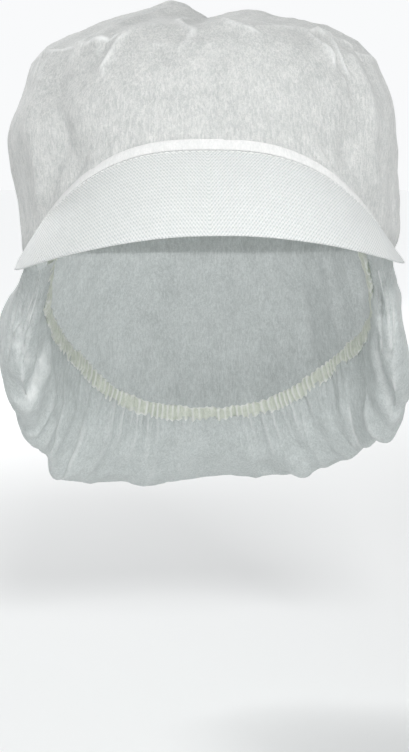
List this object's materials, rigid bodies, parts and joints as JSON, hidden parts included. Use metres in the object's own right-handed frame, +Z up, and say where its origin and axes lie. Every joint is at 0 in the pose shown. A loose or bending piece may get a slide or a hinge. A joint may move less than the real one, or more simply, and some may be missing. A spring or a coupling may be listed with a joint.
{
  "type": "snood cap",
  "caption": "Peaked nonwoven snood cap in its worn form: puffed crown, curved peak, and a hair pouch with an elastic hem behind.",
  "frame": {"origin": "the underside of the crown, where the cap rests on the top of the head", "axes": "+Z up, the front of the cap and its peak towards -Y, the wearer's left at +X"},
  "size_m": [0.206, 0.2646, 0.2549],
  "materials": {
    "crown_nonwoven": "matt white spunbond cloth, slightly see-through",
    "peak_nonwoven": "stiff white embossed nonwoven, two plies",
    "snood_nonwoven": "thin, softly crinkled, slightly shiny white cloth",
    "elastic_hem": "white cloth gathered over a narrow elastic"
  },
  "bodies": {
    "root": {"crown": "crown_nonwoven", "peak": "peak_nonwoven", "peak_binding": "peak_nonwoven", "snood": "snood_nonwoven", "snood_elastic": "elastic_hem"}
  },
  "joints": []
}
